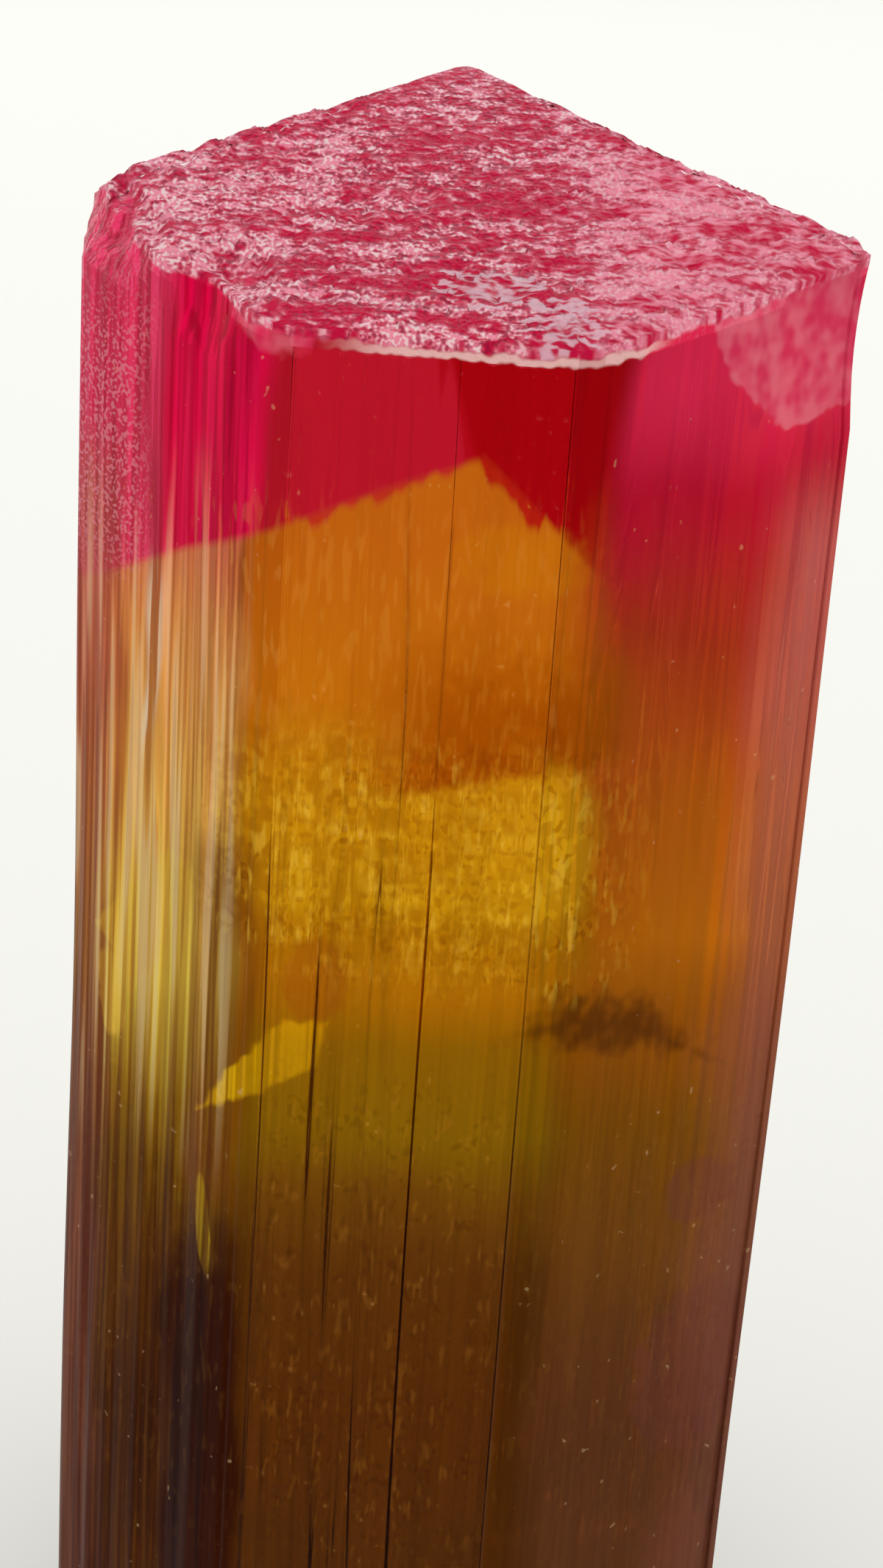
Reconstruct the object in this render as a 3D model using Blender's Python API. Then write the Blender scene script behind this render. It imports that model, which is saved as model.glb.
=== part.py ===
"""An elbaite (tourmaline) crystal, standing on its flat base.

One single crystal: a stout three-sided prism with bulging sides, capped by a low three-sided
pyramid. The prism sides carry ribs that run along the crystal, the cap is etched into ledges
and pits, and the shoulders are chipped where the cap meets the sides.
The front faces -Y, the crystal grows along +Z, and the base lies in the plane Z = 0.
"""

import math
import random
from dataclasses import dataclass

import bmesh
import bpy
from mathutils import Vector, noise

MM = 0.001

# Driving dimensions, in millimetres, measured from the growth axis under the tip
HEIGHT = 76.0
TIP_CUT = 0.12  # the tip is worn flat this far below its ideal point
PYRAMID_DIP = math.radians(27.3)  # of the {10-11} faces of tourmaline, from the horizontal
PYRAMID_FACES = (-90.0, 30.0, 150.0)  # bearings of the three faces, in degrees
PYRAMID_EDGES = (-30.0, 90.0, 210.0)

# Prism faces round the crystal: bearing of the outward normal in degrees, distance from the
# growth axis, and depth of the ribs
PRISM_FACES = (
    (-124.5, 16.30, 0.40),
    (-91.5, 15.62, 0.06),
    (-60.0, 16.45, 0.08),
    (0.0, 16.30, 0.34),
    (30.0, 14.80, 0.16),
    (60.0, 14.20, 0.15),
    (120.0, 13.70, 0.14),
    (150.0, 14.00, 0.16),
    (180.0, 14.60, 0.36),
)

# How finely the surface is divided
COLUMNS = 128
CAP_RINGS = 19
SIDE_RINGS = 17
BASE_RINGS = 2
RINGS = CAP_RINGS + SIDE_RINGS + BASE_RINGS
CROWDING = 1.8  # how strongly the rings of the sides crowd towards the cap

# Relief
CORNER_WEAR = 0.30  # how far an upright corner is worn back
SWELL = 0.18  # slow unevenness of the sides
TAPER = 0.007  # how much the crystal narrows towards its base, to each side
LEDGE_SPACING = 2.2  # of the growth ledges down the slope of the cap
LEDGE_DEPTH = 0.34
PIT_DEPTH = 0.40
RIM_WEAR = 0.28  # of the edge between cap and sides
BREAK_HEIGHT = 1.4  # of the splintered band round the base
BREAK_DEPTH = 0.65
SEED = 11

# Chips broken out of the edges: centre, radius and depth of the bite
CHIPS = (
    ((-13.9, -9.6, 71.0), 2.2, 1.10),
    ((-12.4, -10.6, 70.2), 1.7, 0.50),
    ((-14.2, -7.0, 71.6), 1.6, 0.50),
    ((14.6, -10.6, 67.6), 3.6, 0.30),
    ((7.2, -4.2, 72.1), 1.5, 0.60),
    ((9.9, -5.8, 70.6), 1.2, 0.35),
    ((-8.6, -12.6, 68.6), 2.3, 0.50),
    ((0.3, 15.4, 68.2), 2.6, 1.00),
    ((4.0, 13.2, 69.0), 2.0, 0.45),
    ((-13.0, 5.8, 68.6), 2.0, 0.50),
    ((10.2, 10.2, 1.5), 4.6, 1.30),
    ((-11.5, -11.5, 0.0), 3.6, 0.90),
    ((15.0, -8.6, 0.0), 3.0, 1.00),
)


@dataclass
class Column:
    """One upright line of the prism, seen from above."""

    spot: Vector
    normal: Vector
    rib: float
    wear: float


def direction(bearing):
    """A unit vector in the plane of the section."""
    angle = math.radians(bearing)
    return Vector((math.cos(angle), math.sin(angle)))


def meeting_point(face, following):
    """Where two neighbouring prism faces meet, seen from above."""
    first, second = direction(face[0]), direction(following[0])
    spread = first.x * second.y - first.y * second.x
    return Vector(
        (
            (face[1] * second.y - following[1] * first.y) / spread,
            (following[1] * first.x - face[1] * second.x) / spread,
        )
    )


def shares_of(lengths):
    """How many columns each face gets, in proportion to its length."""
    total = sum(lengths)
    counts = [max(3, round(COLUMNS * length / total)) for length in lengths]
    counts[counts.index(max(counts))] += COLUMNS - sum(counts)
    return counts


def face_columns(face, start, end, count, chance):
    """The columns of one prism face, which stand on ribs of uneven width and depth."""
    columns = []
    left = 0
    for step in range(count):
        if left == 0:
            left = chance.choice((1, 1, 2, 3))
            rib = chance.uniform(0.0, 1.0) * face[2]
        left -= 1
        from_corner = min(step, count - step)
        wear = CORNER_WEAR * max(0.0, 1.0 - from_corner / 2.0) ** 2
        spot = start.lerp(end, step / count)
        columns.append(Column(spot, direction(face[0]), rib, wear))
    return columns


def section():
    """All the columns round the crystal, some of them moved onto the edges of the pyramid."""
    chance = random.Random(SEED)
    following = PRISM_FACES[1:] + PRISM_FACES[:1]
    ends = [meeting_point(face, after) for face, after in zip(PRISM_FACES, following)]
    starts = ends[-1:] + ends[:-1]
    counts = shares_of([(end - start).length for start, end in zip(starts, ends)])
    columns = []
    for face, start, end, count in zip(PRISM_FACES, starts, ends, counts):
        columns += face_columns(face, start, end, count, chance)
    for bearing in PYRAMID_EDGES:
        aim = direction(bearing)
        uncornered = [column for column in columns if column.wear < CORNER_WEAR]
        nearest = max(uncornered, key=lambda column: column.spot.normalized().dot(aim))
        nearest.spot = aim * (nearest.spot.dot(nearest.normal) / aim.dot(nearest.normal))
    return columns


def reach(x, y):
    """How far out a point lies on the pyramid face it is under."""
    return max(Vector((x, y)).dot(direction(bearing)) for bearing in PYRAMID_FACES)


def cap_height(x, y):
    """Height of the pyramid, and of the flat at the tip, over a point."""
    return HEIGHT + TIP_CUT - max(TIP_CUT, reach(x, y) * math.tan(PYRAMID_DIP))


def etching(x, y):
    """How far the etched cap lies under the ideal pyramid: ledges down the slope, and pits."""
    wander = 1.3 * noise.noise(Vector((x * 0.18, y * 0.18, 3.1)))
    ledge = ((reach(x, y) + wander) / LEDGE_SPACING) % 1.0
    pit = max(0.0, noise.noise(Vector((x * 0.75, y * 0.75, 7.7))))
    return LEDGE_DEPTH * ledge + PIT_DEPTH * pit


def bitten(point, inward):
    """The point moved inwards by every chip that reaches it."""
    for centre, radius, depth in CHIPS:
        gap = (point - Vector(centre)).length / radius
        if gap < 1.0:
            point = point + inward * (depth * (1.0 - gap * gap))
    return point


def side_height(column, ring):
    """Height of a ring of the sides on one column: 0 at the rim of the cap."""
    if ring == SIDE_RINGS:
        return 0.0
    top = cap_height(column.spot.x, column.spot.y) - 0.5 * RIM_WEAR
    fall = (ring / (SIDE_RINGS - 1)) ** CROWDING
    return top + (BREAK_HEIGHT - top) * fall


def side_point(column, ring):
    """A point on the sides of the prism."""
    height = side_height(column, ring)
    spot = column.spot
    swell = SWELL * noise.noise(Vector((spot.x * 0.09, spot.y * 0.09, height * 0.035)))
    fading = 0.75 + 0.4 * noise.noise(Vector((spot.x * 1.7, spot.y * 1.7, height * 0.05)))
    ragged = noise.noise(Vector((spot.x * 0.8, spot.y * 0.8, ring * 5.3)))
    depth = column.rib * fading + column.wear - swell + SWELL + TAPER * (HEIGHT - height)
    if ring == 0:
        depth += RIM_WEAR * (0.6 + 0.5 * ragged)
    if ring == SIDE_RINGS:
        depth += BREAK_DEPTH * (0.8 + 0.8 * ragged)
    moved = spot - column.normal * depth
    inward = -Vector((spot.x, spot.y, 0.0)).normalized()
    return bitten(Vector((moved.x, moved.y, height)), inward)


def cap_point(column, ring):
    """A point on the cap, between the tip at ring 0 and the rim."""
    rim = side_point(column, 0)
    share = ring / CAP_RINGS
    spot = Vector((rim.x, rim.y)) * share
    height = cap_height(spot.x, spot.y) - etching(spot.x, spot.y) * min(1.0, share * 1.8)
    down = Vector((-rim.x, -rim.y, -18.0)).normalized()
    return bitten(Vector((spot.x, spot.y, height)), down)


def surface_point(ring, column):
    """Where a vertex of the sphere goes on the surface of the crystal."""
    if ring < CAP_RINGS:
        return cap_point(column, ring)
    if ring <= CAP_RINGS + SIDE_RINGS:
        return side_point(column, ring - CAP_RINGS)
    return side_point(column, SIDE_RINGS) * ((RINGS - ring) / BASE_RINGS)


def crystal_material():
    """Raspberry-coloured, glassy tourmaline."""
    material = bpy.data.materials.new("elbaite")
    material.use_nodes = True
    shader = material.node_tree.nodes["Principled BSDF"]
    shader.inputs["Base Color"].default_value = (0.62, 0.16, 0.08, 1.0)
    shader.inputs["Roughness"].default_value = 0.2
    shader.inputs["Metallic"].default_value = 0.0
    shader.inputs["IOR"].default_value = 1.63
    shader.inputs["Transmission Weight"].default_value = 0.9
    return material


def crystal_mesh():
    """The crystal's closed surface: the rings and columns of a sphere, moved onto it."""
    columns = section()
    shape = bmesh.new()
    bmesh.ops.create_uvsphere(shape, u_segments=COLUMNS, v_segments=RINGS, radius=1.0)
    for vertex in shape.verts:
        ring = round(math.acos(max(-1.0, min(1.0, vertex.co.z))) / math.pi * RINGS)
        turn = round(math.atan2(vertex.co.y, vertex.co.x) / math.tau * COLUMNS)
        vertex.co = surface_point(ring, columns[turn % COLUMNS]) * MM
    lowest = Vector([min(vertex.co[axis] for vertex in shape.verts) for axis in range(3)])
    highest = Vector([max(vertex.co[axis] for vertex in shape.verts) for axis in range(3)])
    middle = (lowest + highest) / 2
    bmesh.ops.translate(shape, verts=shape.verts, vec=(-middle.x, -middle.y, -lowest.z))
    bmesh.ops.recalc_face_normals(shape, faces=shape.faces)
    mesh = bpy.data.meshes.new("elbaite_crystal")
    shape.to_mesh(mesh)
    shape.free()
    return mesh


def main():
    for thing in list(bpy.data.objects):
        bpy.data.objects.remove(thing)
    specimen = bpy.data.collections.new("elbaite_specimen")
    bpy.context.scene.collection.children.link(specimen)
    crystal = bpy.data.objects.new("elbaite_crystal", crystal_mesh())
    crystal.data.materials.append(crystal_material())
    specimen.objects.link(crystal)


main()
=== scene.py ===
"""An elbaite (tourmaline) crystal specimen, standing upright on a pale floor.

The crystal is one piece: a ribbed prism with a low etched pyramid on top, see-through, and
zoned from raspberry at the top through orange to olive and dark brown at the base.
"""

import math
import random
from dataclasses import dataclass

import bmesh
import bpy
from mathutils import Matrix, Vector, noise


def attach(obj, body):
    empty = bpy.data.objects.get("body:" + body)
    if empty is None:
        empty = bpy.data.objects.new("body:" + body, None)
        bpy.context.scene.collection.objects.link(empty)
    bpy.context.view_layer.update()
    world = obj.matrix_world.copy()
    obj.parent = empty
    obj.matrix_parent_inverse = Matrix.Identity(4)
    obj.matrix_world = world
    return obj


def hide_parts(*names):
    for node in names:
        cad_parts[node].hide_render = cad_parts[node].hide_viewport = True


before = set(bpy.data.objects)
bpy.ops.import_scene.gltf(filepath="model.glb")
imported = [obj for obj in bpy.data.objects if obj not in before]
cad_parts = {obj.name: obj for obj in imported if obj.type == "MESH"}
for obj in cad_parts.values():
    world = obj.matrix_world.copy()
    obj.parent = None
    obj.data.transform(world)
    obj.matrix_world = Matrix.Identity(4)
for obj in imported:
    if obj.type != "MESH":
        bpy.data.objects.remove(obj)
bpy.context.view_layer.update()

# The crystal
#
# One crystal of clear tourmaline that grew free at its tip. Ribs run along its prism faces, the
# three-sided pyramid on top is etched into ledges and pits, and it stands on a flat break.

scene = bpy.context.scene
MM = 0.001

# Millimetres, from the growth axis, which runs up through the tip
HEIGHT = 76.0
AXIS = Vector((-0.7992, -0.0505))
TIP_CUT = 0.12
PYRAMID_DIP = math.radians(27.3)
PYRAMID_FACES = (-90.0, 30.0, 150.0)
PYRAMID_EDGES = (-30.0, 90.0, 210.0)

# Prism faces: bearing of the outward normal, distance from the axis, depth of the ribs
PRISM_FACES = (
    (-124.5, 16.30, 0.40),
    (-91.5, 15.62, 0.06),
    (-60.0, 16.45, 0.08),
    (0.0, 16.30, 0.34),
    (30.0, 14.80, 0.16),
    (60.0, 14.20, 0.15),
    (120.0, 13.70, 0.14),
    (150.0, 14.00, 0.16),
    (180.0, 14.60, 0.36),
)

COLUMNS = 128  # the main ribs
FINE = 7  # columns of fine striation to each column of the main ribs
CAP_RINGS = 66
SIDE_RINGS = 40
BASE_RINGS = 4
CROWDING = 1.7

CORNER_WEAR = 0.30
SWELL = 0.18
TAPER = 0.007
STRIATION = 0.009
LEDGE_SPACING = 1.1
LEDGE_DEPTH = 0.26
PIT_DEPTH = 0.40
RIM_WEAR = 0.28
BREAK_HEIGHT = 1.4
BREAK_DEPTH = 0.65

# Chips broken out of the edges: centre, radius and depth of the bite
CHIPS = (
    ((-13.9, -9.6, 71.0), 2.2, 1.10),
    ((-12.4, -10.6, 70.2), 1.7, 0.50),
    ((-14.2, -7.0, 71.6), 1.6, 0.50),
    ((14.6, -10.6, 67.6), 3.6, 0.30),
    ((7.2, -4.2, 72.1), 1.5, 0.60),
    ((9.9, -5.8, 70.6), 1.2, 0.35),
    ((-8.6, -12.6, 68.6), 2.3, 0.50),
    ((0.3, 15.4, 68.2), 2.6, 1.00),
    ((4.0, 13.2, 69.0), 2.0, 0.45),
    ((-13.0, 5.8, 68.6), 2.0, 0.50),
    ((10.2, 10.2, 1.5), 4.6, 1.30),
    ((-11.5, -11.5, 0.0), 3.6, 0.90),
    ((15.0, -8.6, 0.0), 3.0, 1.00),
)


@dataclass
class Column:
    """One upright line of the prism, seen from above."""

    spot: Vector
    normal: Vector
    rib: float
    wear: float


def direction(bearing):
    """A unit vector in the plane of the section."""
    angle = math.radians(bearing)
    return Vector((math.cos(angle), math.sin(angle)))


def meeting_point(face, following):
    """Where two neighbouring prism faces meet, seen from above."""
    first, second = direction(face[0]), direction(following[0])
    spread = first.x * second.y - first.y * second.x
    return Vector(
        (
            (face[1] * second.y - following[1] * first.y) / spread,
            (following[1] * first.x - face[1] * second.x) / spread,
        )
    )


def shares_of(lengths):
    """How many columns each face gets, in proportion to its length."""
    total = sum(lengths)
    counts = [max(3, round(COLUMNS * length / total)) for length in lengths]
    counts[counts.index(max(counts))] += COLUMNS - sum(counts)
    return counts


def face_columns(face, start, end, count, chance):
    """The columns of one prism face, which stand on ribs of uneven width and depth."""
    columns = []
    left = 0
    for step in range(count):
        if left == 0:
            left = chance.choice((1, 1, 2, 3))
            rib = chance.uniform(0.0, 1.0) * face[2]
        left -= 1
        from_corner = min(step, count - step)
        wear = CORNER_WEAR * max(0.0, 1.0 - from_corner / 2.0) ** 2
        spot = start.lerp(end, step / count)
        columns.append(Column(spot, direction(face[0]), rib, wear))
    return columns


def main_columns():
    """The main ribs round the crystal, some of them moved onto the edges of the pyramid."""
    chance = random.Random(11)
    following = PRISM_FACES[1:] + PRISM_FACES[:1]
    ends = [meeting_point(face, after) for face, after in zip(PRISM_FACES, following)]
    starts = ends[-1:] + ends[:-1]
    counts = shares_of([(end - start).length for start, end in zip(starts, ends)])
    columns = []
    for face, start, end, count in zip(PRISM_FACES, starts, ends, counts):
        columns += face_columns(face, start, end, count, chance)
    for bearing in PYRAMID_EDGES:
        aim = direction(bearing)
        uncornered = [column for column in columns if column.wear < CORNER_WEAR]
        nearest = max(uncornered, key=lambda column: column.spot.normalized().dot(aim))
        nearest.spot = aim * (nearest.spot.dot(nearest.normal) / aim.dot(nearest.normal))
    return columns


def striated_columns():
    """The main ribs, each split into fine striations that are cut a little further in."""
    chance = random.Random(5)
    coarse = main_columns()
    columns = []
    for column, after in zip(coarse, coarse[1:] + coarse[:1]):
        for step in range(FINE):
            share = step / FINE
            spot = column.spot.lerp(after.spot, share)
            normal = column.normal.lerp(after.normal, share).normalized()
            rib = column.rib + (after.rib - column.rib) * share
            groove = chance.random() ** 2 * STRIATION * (0.06 + 1.6 * min(1.0, rib / 0.2))
            wear = column.wear + (after.wear - column.wear) * share
            columns.append(Column(spot, normal, rib + (groove if step else 0.0), wear))
    return columns


def reach(x, y):
    """How far out a point lies on the pyramid face it is under."""
    return max(Vector((x, y)).dot(direction(bearing)) for bearing in PYRAMID_FACES)


def cap_height(x, y):
    """Height of the pyramid, and of the flat at the tip, over a point."""
    return HEIGHT + TIP_CUT - max(TIP_CUT, reach(x, y) * math.tan(PYRAMID_DIP))


def etching(x, y):
    """How far the etched cap lies under the ideal pyramid: ledges down the slope, and pits."""
    wander = 1.3 * noise.noise(Vector((x * 0.18, y * 0.18, 3.1)))
    ragged = 0.5 * noise.noise(Vector((x * 0.8, y * 0.8, 9.4)))
    ledge = ((reach(x, y) + wander + ragged) / LEDGE_SPACING) % 1.0
    pit = max(0.0, noise.noise(Vector((x * 0.75, y * 0.75, 7.7))))
    small_pit = max(0.0, noise.noise(Vector((x * 1.6, reach(x, y) * 3.2, 2.7))))
    crumb = abs(noise.noise(Vector((x * 3.2, y * 3.2, 5.1))))
    return LEDGE_DEPTH * ledge + PIT_DEPTH * (0.5 * pit + 0.5 * small_pit + 0.25 * crumb)


def bitten(point, inward):
    """The point moved inwards by every chip that reaches it."""
    for centre, radius, depth in CHIPS:
        gap = (point - Vector(centre)).length / radius
        if gap < 1.0:
            point = point + inward * (depth * (1.0 - gap * gap))
    return point


def side_height(column, ring):
    """Height of a ring of the sides on one column: 0 at the rim of the cap."""
    if ring == SIDE_RINGS:
        return 0.0
    top = cap_height(column.spot.x, column.spot.y) - 0.5 * RIM_WEAR
    fall = (ring / (SIDE_RINGS - 1)) ** CROWDING
    return top + (BREAK_HEIGHT - top) * fall


def side_point(column, ring):
    """A point on the sides of the prism."""
    height = side_height(column, ring)
    spot = column.spot
    swell = SWELL * noise.noise(Vector((spot.x * 0.09, spot.y * 0.09, height * 0.035)))
    fading = 0.75 + 0.4 * noise.noise(Vector((spot.x * 1.7, spot.y * 1.7, height * 0.05)))
    ragged = noise.noise(Vector((spot.x * 0.8, spot.y * 0.8, ring * 5.3)))
    depth = column.rib * fading + column.wear - swell + SWELL + TAPER * (HEIGHT - height)
    if ring == 0:
        depth += RIM_WEAR * (0.6 + 0.5 * noise.noise(Vector((spot.x * 0.8, spot.y * 0.8, 0.0))))
    if ring == SIDE_RINGS:
        depth += BREAK_DEPTH * (0.8 + 0.8 * ragged)
    moved = spot - column.normal * depth
    inward = -Vector((spot.x, spot.y, 0.0)).normalized()
    return bitten(Vector((moved.x, moved.y, height)), inward)


def cap_point(rim, ring):
    """A point on the cap, between the tip at ring 0 and the rim."""
    share = ring / CAP_RINGS
    spot = Vector((rim.x, rim.y)) * share
    height = cap_height(spot.x, spot.y) - etching(spot.x, spot.y) * min(1.0, share * 1.8)
    down = Vector((-rim.x, -rim.y, -18.0)).normalized()
    return bitten(Vector((spot.x, spot.y, height)), down)


def outline(column):
    """The points of one column, from the tip over the rim and down to the middle of the base."""
    rim = side_point(column, 0)
    foot = side_point(column, SIDE_RINGS)
    points = [cap_point(rim, ring) for ring in range(CAP_RINGS)]
    points += [rim] + [side_point(column, ring) for ring in range(1, SIDE_RINGS)]
    points += [foot * (1.0 - ring / BASE_RINGS) for ring in range(BASE_RINGS + 1)]
    return points


def crystal_mesh():
    """The crystal's closed surface: a grid that is wrapped round the crystal and sewn up."""
    lines = [outline(column) for column in striated_columns()]
    lines.append(lines[0])
    rows = len(lines[0])
    shape = bmesh.new()
    bmesh.ops.create_grid(shape, x_segments=len(lines) - 1, y_segments=rows - 1, size=1.0)
    for vertex in shape.verts:
        turn = round((vertex.co.x + 1.0) / 2.0 * (len(lines) - 1))
        row = round((vertex.co.y + 1.0) / 2.0 * (rows - 1))
        vertex.co = lines[turn][row]
    bmesh.ops.remove_doubles(shape, verts=shape.verts, dist=0.0001)
    bmesh.ops.translate(shape, verts=shape.verts, vec=(AXIS.x, AXIS.y, 0.0))
    bmesh.ops.scale(shape, verts=shape.verts, vec=(MM, MM, MM))
    bmesh.ops.recalc_face_normals(shape, faces=shape.faces)
    mesh = bpy.data.meshes.new("elbaite_crystal_surface")
    shape.to_mesh(mesh)
    shape.free()
    mesh.shade_smooth()
    return mesh


crystal = bpy.data.objects.new("crystal", crystal_mesh())
scene.collection.objects.link(crystal)

# Its colour changed as it grew: brown and olive, then orange, then raspberry after a sharp step.
# Fractures inside flash gold, the flash at the left being a painted reflection, and the etched cap
# is frosted, with painted glints and a painted reflection on its smooth panes. The streaks down the
# left and the sparkle are painted highlights and shade. One node group holds all this for the three
# finishes of the stone.

tree = bpy.data.node_groups.new("elbaite_growth", "ShaderNodeTree")
for name, kind in (("Colour", "Color"), ("Roughness", "Float"), ("Relief", "Float")):
    tree.interface.new_socket(name=name, in_out="OUTPUT", socket_type="NodeSocket" + kind)
tree.interface.new_socket(name="Etched roughness", in_out="INPUT", socket_type="NodeSocketFloat")
group_in = tree.nodes.new("NodeGroupInput")
group_out = tree.nodes.new("NodeGroupOutput")


def colour(red, green, blue):
    """A colour from the usual 0 to 255 scale, as light."""
    parts = []
    for value in (red, green, blue):
        share = value / 255
        parts.append(share / 12.92 if share <= 0.04045 else ((share + 0.055) / 1.055) ** 2.4)
    return (*parts, 1.0)


def feed(socket, value):
    """Joins a socket to another socket, or sets it to a plain value."""
    if isinstance(value, bpy.types.NodeSocket):
        tree.links.new(value, socket)
    else:
        socket.default_value = value


def calc(operation, first, second=0.0, third=0.0, clamp=False):
    """A sum on numbers."""
    node = tree.nodes.new("ShaderNodeMath")
    node.operation = operation
    node.use_clamp = clamp
    for socket, value in zip(node.inputs, (first, second, third)):
        feed(socket, value)
    return node.outputs[0]


def step_up(value, low, high):
    """0 below low, 1 above high, and smooth between; the other way round if low is the greater."""
    node = tree.nodes.new("ShaderNodeMapRange")
    node.interpolation_type = "SMOOTHSTEP"
    feed(node.inputs["Value"], value)
    node.inputs["From Min"].default_value = min(low, high)
    node.inputs["From Max"].default_value = max(low, high)
    node.inputs["To Min"].default_value = 0.0 if low < high else 1.0
    node.inputs["To Max"].default_value = 1.0 if low < high else 0.0
    return node.outputs["Result"]


def band(value, low, high, soft):
    """1 between low and high, falling to 0 over a soft edge."""
    off_middle = calc("ABSOLUTE", calc("SUBTRACT", value, (low + high) / 2))
    half = (high - low) / 2
    return step_up(off_middle, half + soft / 2, half - soft / 2)


def both(*masks):
    """The masks multiplied together."""
    result = masks[0]
    for mask in masks[1:]:
        result = calc("MULTIPLY", result, mask)
    return result


def either(*masks):
    """The greatest of the masks."""
    result = masks[0]
    for mask in masks[1:]:
        result = calc("MAXIMUM", result, mask)
    return result


def clouds(scaled_parts, detail=0.0, rough=0.55):
    """Soft noise about 0.5, at a place given as three values, each with its scale."""
    where = tree.nodes.new("ShaderNodeCombineXYZ")
    for socket, (value, scale) in zip(where.inputs, scaled_parts):
        feed(socket, calc("MULTIPLY", value, scale))
    node = tree.nodes.new("ShaderNodeTexNoise")
    feed(node.inputs["Vector"], where.outputs[0])
    node.inputs["Scale"].default_value = 1.0
    node.inputs["Detail"].default_value = detail
    node.inputs["Roughness"].default_value = rough
    return node.outputs["Fac"]


def grain(across, along, detail=0.0, rough=0.55):
    """Soft noise in the stone, scaled across the growth axis and along it."""
    return clouds([(px, across), (py, across), (pz, along)], detail, rough)


def blend(mask, under, over, mode="MIX"):
    """The colour over laid on the colour under, through a mask."""
    node = tree.nodes.new("ShaderNodeMix")
    node.data_type = "RGBA"
    node.blend_type = mode
    feed(node.inputs["Factor"], mask)
    feed(node.inputs["A"], under)
    feed(node.inputs["B"], over)
    return node.outputs["Result"]


def ramp(value, stops):
    """Colours in order of a value, from the lowest place to the highest."""
    low, high = stops[0][0], stops[-1][0]
    node = tree.nodes.new("ShaderNodeValToRGB")
    feed(node.inputs["Fac"], calc("DIVIDE", calc("SUBTRACT", value, low), high - low))
    points = node.color_ramp.elements
    while len(points) < len(stops):
        points.new(0.5)
    for point, (place, shade) in zip(points, stops):
        point.position = (place - low) / (high - low)
        point.color = shade
    return node.outputs["Color"]


def facet(corners, soft=0.15, wobble=0.7):
    """A mask of a patch seen from the front, whose corners (x, z) run clockwise."""
    inside = None
    for (x, z), (next_x, next_z) in zip(corners, corners[1:] + corners[:1]):
        length = math.hypot(next_x - x, next_z - z)
        across, up = (next_z - z) / length, -(next_x - x) / length
        gap = calc("MULTIPLY_ADD", px, across, -across * x - up * z)
        gap = calc("MULTIPLY_ADD", pz, up, gap)
        inside = gap if inside is None else calc("MINIMUM", inside, gap)
    frayed = calc("MULTIPLY_ADD", mottle, wobble, inside)
    return calc("MULTIPLY", step_up(frayed, -soft, soft), front)


def spot(x, z, wide, high, lean=0.0, soft=0.3, wobble=1.2):
    """A mask of a rounded patch about (x, z) seen from the front, leaning with its height."""
    off_z = calc("SUBTRACT", pz, z)
    off_x = calc("MULTIPLY_ADD", off_z, -lean, calc("SUBTRACT", px, x))
    off_x = calc("DIVIDE", off_x, wide)
    off_z = calc("DIVIDE", off_z, high)
    away = calc("MULTIPLY_ADD", off_x, off_x, calc("MULTIPLY", off_z, off_z))
    away = calc("MULTIPLY_ADD", mottle, wobble, away)
    return calc("MULTIPLY", step_up(away, 1.0 + soft, 1.0 - soft), front)


# The place in millimetres from the tip
place = tree.nodes.new("ShaderNodeTexCoord")
parts = tree.nodes.new("ShaderNodeSeparateXYZ")
tree.links.new(place.outputs["Object"], parts.inputs[0])
px = calc("MULTIPLY_ADD", parts.outputs[0], 1.0 / MM, -AXIS.x)
py = calc("MULTIPLY_ADD", parts.outputs[1], 1.0 / MM, -AXIS.y)
pz = calc("MULTIPLY_ADD", parts.outputs[2], 1.0 / MM, -HEIGHT)
front = step_up(py, -7.0, -8.5)

# Slow clouds that bend every boundary, streaks that run along the crystal, and finer grains
drift = calc("SUBTRACT", grain(0.26, 0.2), 0.5)
streak = grain(2.0, 0.05, 1.0, 0.6)
lines = grain(5.5, 0.07)
ticks = grain(4.5, 0.9)
mottle = calc("SUBTRACT", grain(1.3, 1.0, 1.0, 0.65), 0.5)
grit = grain(3.6, 2.8)
frost = grain(6.5, 6.5)

# The colour zones lie askew, lower at the back, and more so lower down
FRONT_FACE = 15.6  # from the growth axis
ASKEW_AT_TIP = 0.064
ASKEW_PER_MM = -0.0046
askew = calc("MULTIPLY_ADD", pz, ASKEW_PER_MM, ASKEW_AT_TIP)
zone_z = calc("MULTIPLY_ADD", calc("ADD", py, FRONT_FACE), askew, pz)
bent_z = calc("MULTIPLY_ADD", drift, 2.4, zone_z)
bent_x = calc("MULTIPLY_ADD", drift, 1.6, px)

# The colours it grew through, from the base up: in the middle, and towards both sides
middle_body = ramp(
    bent_z,
    [
        (-64.0, colour(95, 50, 6)),
        (-53.0, colour(95, 49, 4)),
        (-46.3, colour(100, 56, 8)),
        (-43.0, colour(118, 74, 9)),
        (-40.3, colour(140, 102, 4)),
        (-36.5, colour(150, 103, 4)),
        (-34.1, colour(180, 113, 4)),
        (-31.4, colour(192, 132, 8)),
        (-30.6, colour(206, 150, 12)),
        (-26.0, colour(206, 144, 12)),
        (-22.7, colour(200, 116, 14)),
        (-16.0, colour(196, 102, 18)),
    ],
)
right_body = ramp(
    bent_z,
    [
        (-64.0, colour(112, 62, 28)),
        (-52.7, colour(110, 59, 24)),
        (-44.9, colour(130, 78, 16)),
        (-40.0, colour(140, 86, 2)),
        (-35.0, colour(166, 92, 4)),
        (-32.1, colour(204, 114, 8)),
        (-26.4, colour(194, 98, 14)),
        (-19.3, colour(178, 52, 26)),
        (-14.0, colour(198, 30, 40)),
    ],
)
left_body = ramp(
    bent_z,
    [
        (-64.0, colour(93, 50, 7)),
        (-54.6, colour(93, 50, 7)),
        (-47.0, colour(120, 75, 12)),
        (-43.5, colour(132, 92, 15)),
        (-40.0, colour(180, 140, 30)),
        (-35.0, colour(255, 226, 84)),
        (-27.5, colour(255, 202, 94)),
        (-19.9, colour(244, 166, 92)),
        (-14.0, colour(245, 116, 110)),
    ],
)
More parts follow.
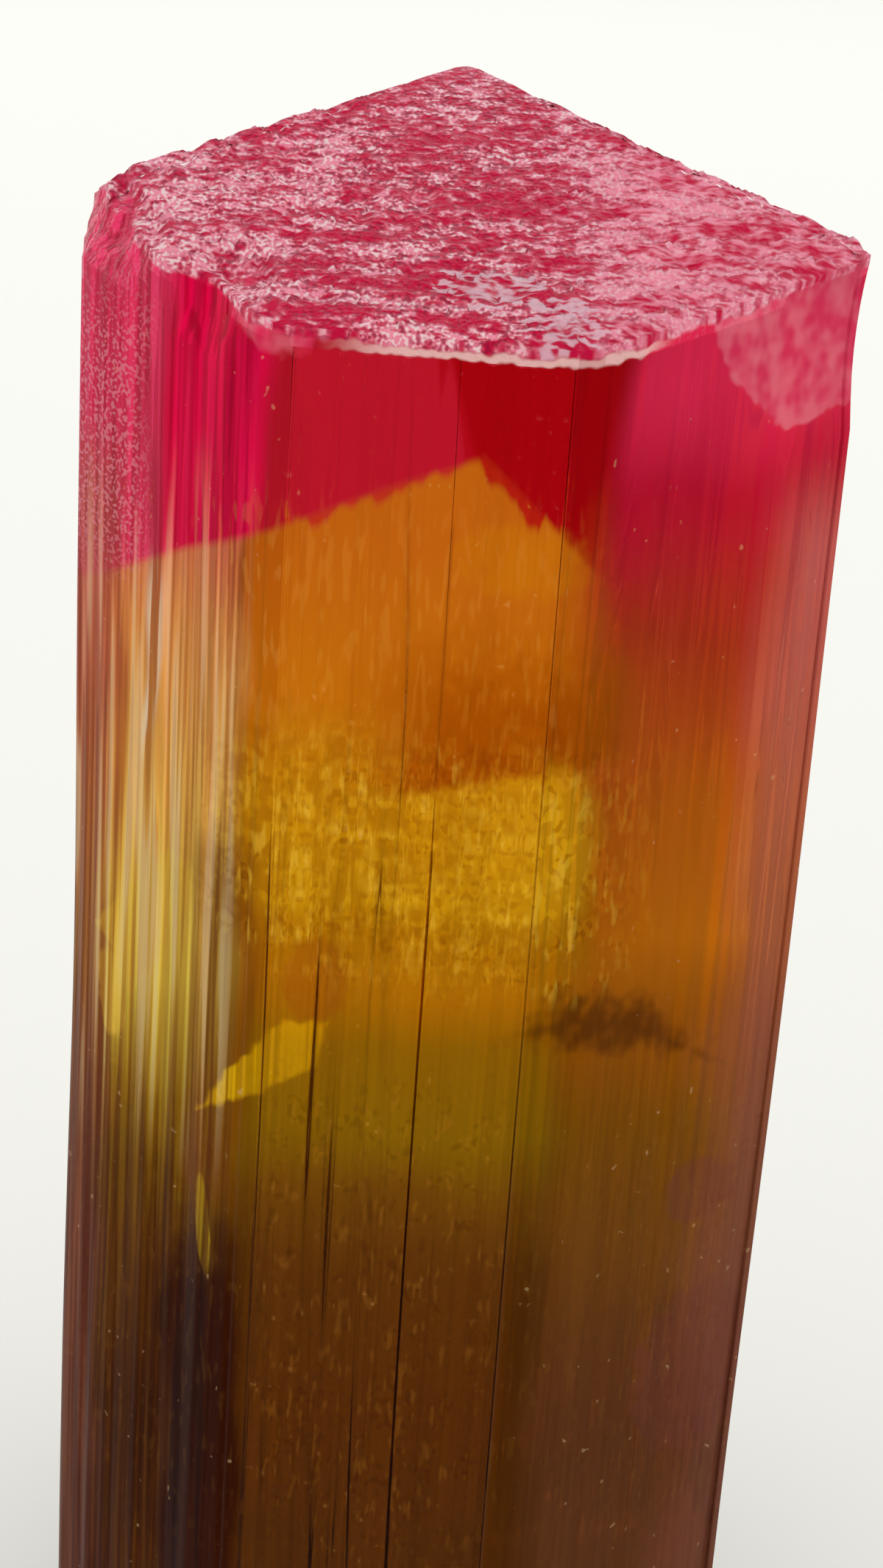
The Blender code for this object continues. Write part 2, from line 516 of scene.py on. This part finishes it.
body = blend(step_up(bent_x, 5.6, 7.6), middle_body, right_body)
body = blend(step_up(bent_x, -6.4, -7.6), body, left_body)

# A darker band of orange, cut off sharply below, and a dark stain in the left of the body
under_band = calc("MULTIPLY_ADD", calc("MAXIMUM", px, -0.4), -0.24, calc("ADD", zone_z, 25.9))
band_mask = both(
    step_up(calc("MULTIPLY_ADD", mottle, 1.4, under_band), -0.2, 0.3),
    step_up(calc("MULTIPLY_ADD", mottle, 4.0, zone_z), -18.0, -22.5),
    step_up(calc("MULTIPLY_ADD", mottle, 4.0, px), -3.8, 1.4),
    step_up(px, 9.4, 6.4),
)
body = blend(band_mask, body, colour(172, 84, 3))
stain_reach = step_up(calc("MULTIPLY_ADD", mottle, 3.0, bent_z), -43.0, -49.0)
stain = both(band(bent_x, -9.2, -5.9, 0.9), stain_reach, 0.95)
body = blend(stain, body, colour(58, 17, 3))
stain_above = both(band(bent_x, -8.6, -6.0, 0.8), band(zone_z, -44.0, -28.5, 3.0), 0.7)
body = blend(stain_above, body, colour(140, 78, 12))

# The pink, which begins along the shape of an older, smaller pyramid
OLDER_TIP_X = 1.7
OLDER_TIP_DEPTH = 12.5
off_tip = calc("SUBTRACT", px, OLDER_TIP_X)
older_tip = calc("MAXIMUM", calc("MULTIPLY", off_tip, -0.41), calc("MULTIPLY", off_tip, 0.90))
above_step = calc("ADD", calc("ADD", zone_z, OLDER_TIP_DEPTH), older_tip)
pink_side = step_up(calc("MULTIPLY_ADD", drift, 0.5, above_step), -0.25, 0.25)
pink_fade = step_up(calc("MULTIPLY_ADD", mottle, 2.5, bent_z), -19.5, -12.0)
pinkness = blend(step_up(bent_x, 5.4, 7.4), pink_side, pink_fade)

# Painted shade: the middle of the red is darker to the right of a line where a back edge shows
# through the stone
painted_shade_edge = calc("MULTIPLY_ADD", zone_z, 0.3, px)
pink_left = blend(step_up(bent_x, -9.8, -11.2), colour(248, 12, 86), colour(250, 66, 118))
pink_middle = blend(step_up(painted_shade_edge, -2.6, -2.2), colour(188, 23, 44), colour(166, 4, 14))
pink_right = blend(step_up(bent_z, -14.0, -9.0), colour(202, 14, 54), colour(240, 44, 88))
pink = blend(step_up(bent_x, -5.8, -7.0), pink_middle, pink_left)
pink = blend(step_up(bent_x, 6.2, 7.6), pink, pink_right)
tint = blend(pinkness, body, pink)

# Strips of pink skin down the outer corners
strip_left = step_up(calc("MULTIPLY_ADD", streak, 1.6, bent_x), -11.0, -12.4)
strip_right = step_up(calc("MULTIPLY_ADD", streak, -1.6, bent_x), 11.0, 14.2)
strip_shade = ramp(
    pz,
    [
        (-64.0, colour(130, 78, 60)),
        (-44.0, colour(150, 88, 70)),
        (-30.0, colour(186, 100, 76)),
        (-16.0, colour(214, 108, 108)),
    ],
)
strip = both(either(strip_left, strip_right), step_up(pz, -12.0, -17.0), front, 0.8)
tint = blend(strip, tint, strip_shade)

# Fractures and stains inside, which flash gold or shut out the light. The flash at the left and its
# tail are a painted reflection off a fracture.
painted_flash = facet([(-12.8, -34.2), (-9.7, -30.1), (-8.8, -30.6), (-9.2, -33.5), (-11.3, -36.7)])
painted_flash_tail = spot(-12.1, -37.2, 0.6, 1.9, -0.1)
tint = blend(both(either(painted_flash, painted_flash_tail), 0.85), tint, colour(255, 216, 84))
gold = facet([(-7.9, -40.6), (-7.0, -38.6), (-4.7, -35.9), (-3.0, -35.9), (-3.5, -37.9)])
inner = calc("MULTIPLY_ADD", step_up(lines, 0.38, 0.58), 0.5, 0.5)
tint = blend(both(gold, inner), tint, colour(250, 196, 10))
sliver = spot(-7.7, -46.0, 0.3, 2.3, -0.1)
tint = blend(both(sliver, inner, 0.6), tint, colour(216, 180, 30))
arch = facet([(4.7, -35.8), (6.3, -34.3), (9.4, -34.8), (12.0, -37.6), (9.0, -36.9)], 0.8, 2.4)
tint = blend(both(arch, 0.8), tint, colour(92, 46, 4))
rust = spot(-3.5, -34.1, 1.3, 1.7)
tint = blend(both(rust, 0.6), tint, colour(150, 66, 14))
bright_patch = spot(3.3, -16.4, 2.2, 1.3, 0.0, 0.95, 2.0)
tint = blend(both(bright_patch, 0.55), tint, colour(214, 146, 6))
glow = spot(4.9, -28.0, 2.0, 3.2, 0.0, 0.95, 1.6)
tint = blend(both(glow, 0.6), tint, colour(244, 190, 24))
bruise = either(spot(12.9, -44.2, 1.5, 1.5), spot(13.3, -53.0, 2.5, 4.2))
tint = blend(both(bruise, 0.4), tint, colour(126, 66, 56))
crack = both(band(px, 0.62, 0.76, 0.12), band(pz, -25.6, -15.2, 0.5), front)
tint = blend(both(crack, 0.6), tint, colour(120, 56, 10))

# Bright and dark streaks down the left: painted highlights and painted shade along the striations,
# with a painted glint near the left edge
on_left = step_up(px, -6.6, -7.4)
low_down = step_up(bent_z, -28.0, -40.0)
painted_streak_depth = calc("MULTIPLY_ADD", on_left, 0.42, calc("MULTIPLY", low_down, 0.10))
tint = blend(both(step_up(streak, 0.56, 0.40), painted_streak_depth), tint, colour(150, 86, 60), "MULTIPLY")
tint = blend(both(step_up(lines, 0.54, 0.42), painted_streak_depth), tint, colour(176, 110, 84), "MULTIPLY")
# Painted highlights: pale streaks on the left
pale = both(step_up(streak, 0.52, 0.62), on_left, band(bent_z, -40.0, -16.0, 8.0), 0.35)
tint = blend(pale, tint, colour(255, 236, 190))
# Painted glint: a narrow near-white line high on the left
painted_glint = both(band(bent_z, -25.0, -18.5, 3.0), band(bent_x, -11.1, -10.6, 0.4))
tint = blend(both(painted_glint, step_up(lines, 0.40, 0.52), 0.8), tint, colour(255, 246, 220))

# Ticks and grit in the yellow, fewer above and below it, and a few bright specks everywhere; the
# bright ticks and specks are painted sparkle
frayed_z = calc("MULTIPLY_ADD", mottle, 5.0, bent_z)
yellow = both(band(frayed_z, -33.0, -24.0, 3.0), band(bent_x, -7.5, 8.0, 5.0))
smudged = both(step_up(mottle, 0.06, -0.10), yellow, 0.45)
tint = blend(smudged, tint, colour(190, 150, 120), "MULTIPLY")
gritty = both(yellow, step_up(mottle, -0.12, 0.10))
tint = blend(both(step_up(grit, 0.46, 0.36), gritty, 0.5), tint, colour(170, 110, 70), "MULTIPLY")
# Painted sparkle: bright ticks among the grains
tint = blend(both(step_up(ticks, 0.50, 0.68), gritty, 0.5), tint, colour(240, 196, 60))
orange_side = both(band(bent_z, -23.0, -15.0, 4.0), band(bent_x, -8.5, 5.5, 3.0), front)
tint = blend(both(step_up(ticks, 0.56, 0.70), orange_side, 0.22), tint, colour(240, 176, 80))
clusters = both(step_up(mottle, -0.04, 0.08), band(bent_z, -60.0, -38.0, 6.0), front)
clusters = both(clusters, calc("MULTIPLY_ADD", band(bent_x, -5.0, 4.4, 1.0), 0.8, 0.2))
tint = blend(both(step_up(ticks, 0.54, 0.68), clusters, 0.3), tint, colour(190, 132, 50))
tint = blend(both(step_up(grit, 0.46, 0.36), clusters, 0.45), tint, colour(140, 84, 56), "MULTIPLY")
crumbly = both(step_up(bent_x, -10.8, -12.0), band(pz, -18.5, -8.5, 4.0))
tint = blend(both(step_up(frost, 0.50, 0.64), crumbly, 0.55), tint, colour(246, 160, 180))
# Painted sparkle: a few bright specks everywhere
painted_sparkle_specks = both(step_up(grit, 0.78, 0.83), step_up(mottle, 0.02, 0.12), 0.25)
tint = blend(painted_sparkle_specks, tint, colour(255, 216, 160))

# The frosted cap, and two tongues of the same etching that hang below its rim
CAP_OPACITY = 0.95
TONGUE_OPACITY = 0.8
slopes = []
for bearing in PYRAMID_FACES:
    aim = direction(bearing)
    slopes.append(calc("MULTIPLY_ADD", px, aim.x, calc("MULTIPLY", py, aim.y)))
down_slope = either(*slopes)
under_pyramid = calc("MULTIPLY_ADD", down_slope, math.tan(PYRAMID_DIP), pz)
cap = step_up(calc("MULTIPLY_ADD", mottle, 0.6, under_pyramid), -0.75, -0.55)
lobe = facet(
    [(9.9, -5.8), (15.8, -5.0), (15.8, -10.6), (13.1, -11.6), (11.4, -10.1), (10.1, -8.3)], 0.12
)
tongue = both(spot(-6.5, -7.6, 1.5, 1.7, -0.3), TONGUE_OPACITY)
etched = either(cap, lobe, tongue)
ridges = clouds([(px, 1.5), (down_slope, 4.6), (pz, 0.4)], 1.0, 0.68)
ledges = calc("SUBTRACT", clouds([(px, 0.3), (down_slope, 1.2), (py, 0.2)]), 0.5)
from_middle = calc("ABSOLUTE", calc("ADD", px, 0.6))
cap_middle = both(step_up(from_middle, 9.5, 3.0), band(down_slope, 1.0, 16.0, 3.0))
raised = calc("MULTIPLY_ADD", ledges, 0.5, calc("MULTIPLY_ADD", cap_middle, -0.08, ridges))
grainy = calc("MULTIPLY", step_up(bent_x, 8.0, 1.0), 0.6)
grainy = calc("MULTIPLY_ADD", step_up(ledges, -0.10, 0.0), 0.4, grainy)
cap_shade = blend(step_up(raised, 0.28, 0.66), colour(206, 22, 70), colour(252, 154, 180))
flecks = both(step_up(frost, 0.48, 0.36), step_up(raised, 0.64, 0.48), grainy, 0.7)
cap_shade = blend(flecks, cap_shade, colour(140, 26, 62))
# Painted glints: near-white dots on the crests of the etched cap
painted_crest_glints = both(step_up(frost, 0.52, 0.66), step_up(raised, 0.38, 0.54), grainy, 0.95)
cap_shade = blend(painted_crest_glints, cap_shade, colour(255, 226, 230))

# Smooth panes at the front of the cap, less rough and painted with a pale reflection: their middle,
# and how far they reach across and back
PANES = (((1.6, -12.8), 1.7, 0.9), ((4.3, -14.3), 1.3, 1.1))
smooth_panes_and_sheen = None
for (x, y), wide, deep in PANES:
    off_x = calc("DIVIDE", calc("SUBTRACT", px, x), wide)
    off_y = calc("DIVIDE", calc("SUBTRACT", py, y), deep)
    away = calc("MULTIPLY_ADD", off_x, off_x, calc("MULTIPLY", off_y, off_y))
    pane = step_up(calc("MULTIPLY_ADD", calc("SUBTRACT", ridges, 0.5), -7.0, away), 1.2, 0.8)
    smooth_panes_and_sheen = pane if smooth_panes_and_sheen is None else either(smooth_panes_and_sheen, pane)
smooth_panes_and_sheen = both(smooth_panes_and_sheen, cap)
# Painted reflection: a pale streaked sheen on the smooth panes of the cap
painted_pane_reflection = both(smooth_panes_and_sheen, step_up(ridges, 0.34, 0.60), 0.85)
cap_shade = blend(painted_pane_reflection, cap_shade, colour(232, 190, 206))
rim_line = both(
    band(calc("MULTIPLY_ADD", mottle, 0.6, under_pyramid), -0.95, -0.65, 0.15),
    front,
    step_up(bent_x, -5.0, -1.5),
    step_up(bent_x, 8.4, 6.8),
)
lobe_shade = blend(step_up(mottle, -0.24, 0.24), colour(236, 58, 104), colour(250, 124, 146))
tint = blend(both(either(lobe, tongue), 0.9), tint, lobe_shade)
tint = blend(both(cap, CAP_OPACITY), tint, cap_shade)
tint = blend(both(rim_line, 0.8), tint, colour(255, 214, 210))

unpolished = calc("MULTIPLY_ADD", smooth_panes_and_sheen, -0.7, etched, clamp=True)
feed(group_out.inputs["Colour"], tint)
feed(group_out.inputs["Roughness"], both(unpolished, group_in.outputs["Etched roughness"]))
feed(group_out.inputs["Relief"], calc("MULTIPLY_ADD", frost, 0.6, ridges))

ETCHED_ROUGHNESS = 0.35
REFRACTION = 1.63
ABSORBED_TO = (0.95, 0.70, 0.60, 1.0)
ABSORPTION_PER_METRE = 10.0


def stone(name, clearness, gloss=0.5, relief=0.0):
    """The stone with a finish that lets through a share of the light and scatters the rest."""
    material = bpy.data.materials.new(name)
    material.use_nodes = True
    nodes, links = material.node_tree.nodes, material.node_tree.links
    growth = nodes.new("ShaderNodeGroup")
    growth.node_tree = tree
    growth.inputs["Etched roughness"].default_value = ETCHED_ROUGHNESS
    shader = nodes["Principled BSDF"]
    links.new(growth.outputs["Colour"], shader.inputs["Base Color"])
    links.new(growth.outputs["Roughness"], shader.inputs["Roughness"])
    shader.inputs["Metallic"].default_value = 0.0
    shader.inputs["IOR"].default_value = REFRACTION
    shader.inputs["Transmission Weight"].default_value = clearness
    shader.inputs["Specular IOR Level"].default_value = gloss
    shader.inputs["Specular Tint"].default_value = (0.0, 0.0, 0.0, 1.0)
    if relief > 0.0:
        bump = nodes.new("ShaderNodeBump")
        bump.inputs["Strength"].default_value = 1.0
        bump.inputs["Distance"].default_value = relief
        links.new(growth.outputs["Relief"], bump.inputs["Height"])
        links.new(bump.outputs["Normal"], shader.inputs["Normal"])
    absorption = nodes.new("ShaderNodeVolumeAbsorption")
    absorption.inputs["Color"].default_value = ABSORBED_TO
    absorption.inputs["Density"].default_value = ABSORPTION_PER_METRE
    links.new(absorption.outputs["Volume"], nodes["Material Output"].inputs["Volume"])
    return material


# Clear on most sides, etched dull on the cap, its rim and the chips of the left shoulder, and
# satin from striations on the two flanks beside the front face
finishes = [
    stone("elbaite", clearness=1.0),
    stone("etched_elbaite", clearness=0.2, relief=0.12 * MM),
    stone("satin_elbaite", clearness=0.4, gloss=0.0),
]
for finish in finishes:
    crystal.data.materials.append(finish)
CLEAR, ETCHED, SATIN = range(3)

CAP_DEPTH = 1.2  # the etched skin reaches this far under the ideal pyramid
CAP_SLOPE = 0.35  # faces of the cap look up more than this
RIM_DEPTH = 0.95
FRONT_HALF = -8.0  # the rim and the flanks are dressed in front of this
FRONT_LEFT, FRONT_RIGHT = -5.6, 4.85
CHIP_REACH = 1.2
LEFT_SHOULDER = CHIPS[:3]


def finish_of(face):
    """Which finish a face of the crystal has."""
    x, y, z = (face.center / MM) - Vector((AXIS.x, AXIS.y, 0.0))
    depth = cap_height(x, y) - z
    if depth < CAP_DEPTH and face.normal.z > CAP_SLOPE:
        return ETCHED
    if depth < RIM_DEPTH and y < FRONT_HALF:
        return ETCHED
    for centre, radius, _ in LEFT_SHOULDER:
        if (Vector((x, y, z)) - Vector(centre)).length < CHIP_REACH * radius:
            return ETCHED
    if y < FRONT_HALF and not FRONT_LEFT < x < FRONT_RIGHT:
        return SATIN
    return CLEAR


for face in crystal.data.polygons:
    face.material_index = finish_of(face)
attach(crystal, "root")
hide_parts("elbaite_crystal")

# The floor, a wide flat sheet of pale matt card just under the crystal

sheet = bmesh.new()
bmesh.ops.create_grid(sheet, x_segments=2, y_segments=2, size=6.0)
bmesh.ops.translate(sheet, verts=sheet.verts, vec=(0.0, 0.0, -0.2 * MM))
floor_mesh = bpy.data.meshes.new("floor")
sheet.to_mesh(floor_mesh)
sheet.free()
floor = bpy.data.objects.new("floor", floor_mesh)
scene.collection.objects.link(floor)
card = bpy.data.materials.new("pale_card")
card.use_nodes = True
card_shader = card.node_tree.nodes["Principled BSDF"]
card_shader.inputs["Base Color"].default_value = (0.88, 0.88, 0.845, 1.0)
card_shader.inputs["Roughness"].default_value = 0.9
floor.data.materials.append(card)

# The light: a soft white room, a little darker towards the horizon, and a large soft lamp over
# the floor behind the crystal

room = bpy.data.worlds.new("room")
room.use_nodes = True
room_nodes, room_links = room.node_tree.nodes, room.node_tree.links
facing = room_nodes.new("ShaderNodeTexCoord")
heights = room_nodes.new("ShaderNodeSeparateXYZ")
wall_and_ceiling = room_nodes.new("ShaderNodeValToRGB")
horizon, ceiling = wall_and_ceiling.color_ramp.elements
horizon.color = (0.86, 0.86, 0.83, 1.0)
ceiling.color = (1.0, 1.0, 0.98, 1.0)
ceiling.position = 0.3
background = room_nodes["Background"]
background.inputs["Strength"].default_value = 1.02
room_links.new(facing.outputs["Generated"], heights.inputs[0])
room_links.new(heights.outputs[2], wall_and_ceiling.inputs["Fac"])
room_links.new(wall_and_ceiling.outputs["Color"], background.inputs["Color"])
room.cycles.sampling_method = "NONE"  # the room is nearly even, so rays find it by themselves
scene.world = room

light = bpy.data.lights.new("back_lamp", "AREA")
light.size = 1.0
light.energy = 0.55
light.spread = math.radians(120.0)
lamp = bpy.data.objects.new("back_lamp", light)
lamp.location = (0.0, 0.75, 0.80)  # an area lamp faces down unless it is turned
scene.collection.objects.link(lamp)

# The camera, a little above the crystal and tilted

ELEVATION = math.radians(19.56)
ROLL = math.radians(3.87)
DISTANCE = 0.1289
AIM_X, AIM_DEPTH = 0.92, 30.86  # millimetres from the tip, right of the axis and below
FRAME_HEIGHT = 2132.0  # pixels
FOCAL_LENGTH = 3977.0  # in the same pixels
SENSOR = 36.0  # millimetres over the height of the frame
aim = Vector(((AIM_X + AXIS.x) * MM, AXIS.y * MM, (HEIGHT - AIM_DEPTH) * MM))
ahead = Vector((0.0, math.cos(ELEVATION), -math.sin(ELEVATION)))
right = Vector((1.0, 0.0, 0.0))
over = Vector((0.0, math.sin(ELEVATION), math.cos(ELEVATION)))
rolled_right = right * math.cos(ROLL) + over * math.sin(ROLL)
rolled_over = over * math.cos(ROLL) - right * math.sin(ROLL)
camera = bpy.data.objects.new("camera", bpy.data.cameras.new("camera"))
camera.matrix_world = Matrix.Translation(aim - ahead * DISTANCE) @ Matrix(
    (
        (rolled_right.x, rolled_over.x, -ahead.x, 0.0),
        (rolled_right.y, rolled_over.y, -ahead.y, 0.0),
        (rolled_right.z, rolled_over.z, -ahead.z, 0.0),
        (0.0, 0.0, 0.0, 1.0),
    )
)
camera.data.sensor_width = SENSOR
camera.data.lens = FOCAL_LENGTH / FRAME_HEIGHT * SENSOR
camera.data.clip_start = 0.01
scene.collection.objects.link(camera)
scene.camera = camera
scene.view_settings.view_transform = "Standard"

# Enough bounces for light to pass in and out of the stone
scene.cycles.max_bounces = 7
scene.cycles.transmission_bounces = 6
